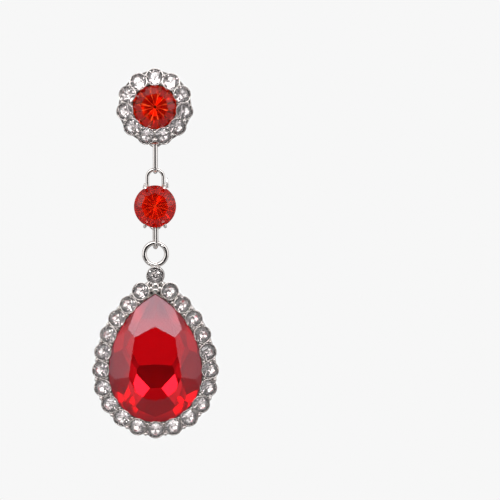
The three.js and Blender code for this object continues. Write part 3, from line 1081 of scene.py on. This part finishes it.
@dataclass(frozen=True)
class Drop:
    """The pear stone in its frame, with its halo and the ring soldered on top.

    The rows of outer_beads and inner_beads are how far out of the pear's edge they sit, and
    their radius. Those of tip_beads are across, back and up from the top stone, radius and
    flatness.
    """

    pear: Pear = field(default_factory=Pear)
    small: SmallStones = field(default_factory=SmallStones)
    halo: int = 22
    collar: float = 0.22
    lip: float = 0.16
    back_wall: float = 0.45
    ring: float = 1.56
    ring_wire: float = 0.34
    chain_y: float = -0.95
    outer_beads: tuple[float, float] = (1.9, 0.26)
    inner_beads: tuple[float, float] = (0.42, 0.24)
    tip_beads: tuple[tuple[float, float, float, float, float], ...] = (
        (0.0, 0.3, -1.36, 0.6, 0.8),
        (0.0, 0.3, -2.1, 0.46, 0.7),
        (-0.6, 0.35, -1.85, 0.42, 0.8),
        (0.6, 0.35, -1.85, 0.42, 0.8),
        (-0.95, 0.35, -1.15, 0.36, 0.8),
        (0.95, 0.35, -1.15, 0.36, 0.8),
    )

    def build(self, finishes: Finishes) -> None:
        """Builds the drop's stones and metal."""
        nodes = [f"drop_halo_stone_{i + 1:02d}" for i in range(self.halo)]
        seats = self.small.stones(nodes, "drop", finishes)
        low, high = box_mm("drop_stone")
        centre = np.array([0.0, low[1] + self.pear.crown, high[2] - self.pear.up])
        # The foil's tone by the turn of each facet is painted light and shade: values over 1 are
        # painted highlights, low ones are painted shade, set for how light falls on each facet.
        painted_light_tones = {84: -0.3, 50: 0.9, 30: 0.6, 12: 1.0, -6: 0.3, -24: 1.2, -44: 1.6, -52: 0.6}
        painted_light_tones |= {-62: 1.0, -74: 1.4, -90: 0.0}
        made = gem("drop_gem", self.pear.stone(), FRONT, finishes.red, centre, painted_light_tones=painted_light_tones)
        stands_for(made, "drop_stone", "drop")
        metal = self.metal(seats, centre)
        plated("drop_metal", metal, finishes, "drop_setting", "drop")

    def metal(self, seats: list[Seat], centre: Array) -> list[Shell]:
        """The dish under the pear, the cups, the beads, the ring and its solder.

        Args:
            seats: seats of the small stones, the top one first.
            centre: the middle of the pear's widest line at the girdle's front edge.

        Returns:
            The shells.
        """
        g, p, c = self.pear.girdle, self.pear.pavilion, self.collar
        back = g + p + self.back_wall
        profile = [[c, 0.0, back], [c, 0.4, back], [c, 0.47, back - 0.05], [c, 0.97, g + 1.0]]
        profile += [[c, 1.0, g + 0.8], [c, 1.0, g - self.lip + 0.06], [c - 0.05, 1.0, g - self.lip]]
        profile += [[0.09, 1.0, g - self.lip], [0.05, 1.0, g - self.lip + 0.04]]
        profile += [[0.05, 1.0, g + 0.03], [0.05, 0.84, g + 1.3], [0.05, 0.55, g + 2.36]]
        profile += [[0.05, 0.0, g + p + 0.08]]
        shells = [self.pear.turned(np.array(profile), centre, 160)]
        shells += [self.small.cup(s) for s in seats]
        rim = seats[0].centre[1] - 0.12 - centre[1]
        band = [[0.12, 1.0, rim + 1.9], [1.2, 1.0, rim + 1.9], [2.1, 1.0, rim + 1.35]]
        band += [[2.1, 1.0, rim + 0.65], [2.0, 1.0, rim + 0.55], [0.12, 1.0, rim + 0.55]]
        whole = self.pear.turned(np.array(band), centre, 160, True)
        shells.append(carve(whole, [self.small.plug(s) for s in seats]))
        for out, radius in (self.outer_beads, self.inner_beads):
            spots = self.pear.spots(seats[1:], centre, out)
            shells += [ball(spot, radius, FRONT) for spot in spots]
        high = box_mm("drop_setting")[1]
        middle = np.array([0.0, self.chain_y, high[2] - self.ring_wire - self.ring])
        shells.append(ring(middle, self.ring, self.ring_wire, 64, 16))
        top = seats[0].centre
        shells += [ball(top + place, r, FRONT, flat) for *place, r, flat in self.tip_beads]
        solder = np.array([[0, 0.5], [0.62, 0.5], [0.5, -0.1], [0.36, -0.32], [0, -0.4]])
        foot = middle - [0.0, 0.0, self.ring + self.ring_wire]
        shells.append(turned(solder, foot, np.array([0.0, 0.0, 1.0]), 24))
        return shells


# Floor, light and camera


@dataclass(frozen=True)
class Studio:
    """The pale floor, the soft light and the camera."""

    pale: float = 0.93
    floor_z: float = -0.11
    lens: float = 200.0
    frame_width: float = 0.0704
    frame_middle: tuple[float, float] = (0.0133, -0.02007)
    disc: float = 0.24
    disc_tone: float = 0.84
    disc_fade: tuple[float, float] = (0.09, 0.23)
    room: tuple[tuple[float, float], ...] = (
        (0.0, 0.03), (0.06, 0.04), (0.14, 0.08), (0.21, 0.4),
        (0.3, 0.92), (0.75, 0.85), (0.92, 0.4), (1.0, 0.3),
    )
    panels: tuple[tuple, ...] = (
        ("overhead", (0.0, -0.3, 0.195), (0.52, 0.1), 0.95),
        ("left", (-0.33, -0.19, 0.06), (0.24, 0.3), 0.26),
        ("right", (0.33, -0.19, 0.06), (0.24, 0.3), 0.22),
        ("top", (0.0, -0.12, 0.38), (0.3, 0.16), 0.12),
        ("front_low", (-0.1, -0.42, -0.16), (0.06, 0.06), 0.1),
        ("back", (0.05, 0.36, 0.2), (0.25, 0.25), 0.5),
    )

    def build(self) -> None:
        """Sets up the floor, the world, the lamps and the camera."""
        self.floor()
        self.world()
        self.lamps()
        self.camera()
        bpy.context.scene.view_settings.view_transform = "Standard"

    def floor(self) -> None:
        """A pale disc that thins out to nothing at its edge."""
        bpy.ops.mesh.primitive_circle_add(
            vertices=96, radius=self.disc, fill_type="NGON", location=(0, 0, self.floor_z)
        )
        disc = bpy.context.object
        disc.name = "pale_floor"
        material, shader = blank_material("pale_floor")
        nodes = material.node_tree.nodes
        with_values(shader, {"Base Color": (*[self.disc_tone] * 3, 1.0), "Roughness": 0.6})
        place, away = nodes.new("ShaderNodeTexCoord"), nodes.new("ShaderNodeVectorMath")
        away.operation = "LENGTH"
        near, far = self.disc_fade
        fade = with_values(value_between(nodes, 1.0, 0.0), {"From Min": near, "From Max": far})
        chain = (place, "Object", 0, away, "Value", "Value", fade, "Result", "Alpha", shader)
        joined(material.node_tree.links, chain)
        disc.data.materials.append(material)
        disc.visible_glossy = False

    def world(self) -> None:
        """Pale to the camera, and for the light a soft room, brighter above than below.

        The room's tones run from the camera's side, at 0, to the back, at 1.
        """
        world = bpy.data.worlds.new("studio")
        bpy.context.scene.world = world
        world.use_nodes = True
        nodes = world.node_tree.nodes
        nodes.clear()
        out, path = nodes.new("ShaderNodeOutputWorld"), nodes.new("ShaderNodeLightPath")
        mix, room = nodes.new("ShaderNodeMixShader"), nodes.new("ShaderNodeBackground")
        pale = {"Color": (*[self.pale] * 3, 1.0)}
        seen = with_values(nodes.new("ShaderNodeBackground"), pale)
        place, parts = nodes.new("ShaderNodeTexCoord"), nodes.new("ShaderNodeSeparateXYZ")
        half = math_node(nodes, "MULTIPLY_ADD", 0.5, 0.5)
        rise = with_values(value_between(nodes, 0.5, 1.0), {"From Min": -1.0, "From Max": 0.1})
        depth = nodes.new("ShaderNodeValToRGB")
        ramp = depth.color_ramp.elements
        for at, value in self.room[1:-1]:
            ramp.new(at).color = (value, value, value, 1.0)
        for end in (0, -1):
            value = self.room[end][1]
            ramp[end].color = (value, value * 0.98, value * 0.96, 1.0)
        joined(
            world.node_tree.links,
            (place, "Generated", 0, parts, "Y", 0, half, 0, "Fac", depth, "Color", "Color", room),
            (parts, "Z", "Value", rise, "Result", "Strength", room, 0, 1, mix),
            (path, "Is Camera Ray", 0, mix),
            (seen, 0, 2, mix, 0, "Surface", out),
        )

    def lamps(self) -> None:
        """Soft panels: overhead, left, right, on top, a small one low in front, and behind."""
        aim = Vector((0.0, 0.0, -0.025))
        for name, at, size, power in self.panels:
            lamp = bpy.data.lights.new(name + "_panel", "AREA")
            lamp.shape = "RECTANGLE"
            lamp.size, lamp.size_y = size
            lamp.energy = power
            made = bpy.data.objects.new(name + "_panel", lamp)
            made.location = at
            made.rotation_euler = (aim - Vector(at)).to_track_quat("-Z", "Y").to_euler()
            bpy.context.scene.collection.objects.link(made)

    def camera(self) -> None:
        """A long lens level with the stud, a little to the right and looking slightly down."""
        data = bpy.data.cameras.new("camera")
        data.lens = self.lens
        data.sensor_width = 36.0
        distance = self.lens / data.sensor_width * self.frame_width
        x, z = self.frame_middle
        made = bpy.data.objects.new("camera", data)
        made.location = (x, -distance, 0.0)
        aim = Vector((x, -0.001, z)) - made.location
        made.rotation_euler = aim.to_track_quat("-Z", "Y").to_euler()
        bpy.context.scene.collection.objects.link(made)
        bpy.context.scene.camera = made


def main() -> None:
    """Builds the earring from the top down, then its surroundings."""
    logging.basicConfig(level=logging.INFO, format="%(name)s: %(message)s")
    finishes = make_finishes()
    Stud().build(finishes)
    ChainLink("upper_link", 4.3, 0.65, 0.32).build(finishes)
    Connector().build(finishes)
    ChainLink("lower_link", 3.25, 0.65, 0.26, 18.0).build(finishes)
    Drop().build(finishes)
    Studio().build()


if __name__ == "__main__":
    main()
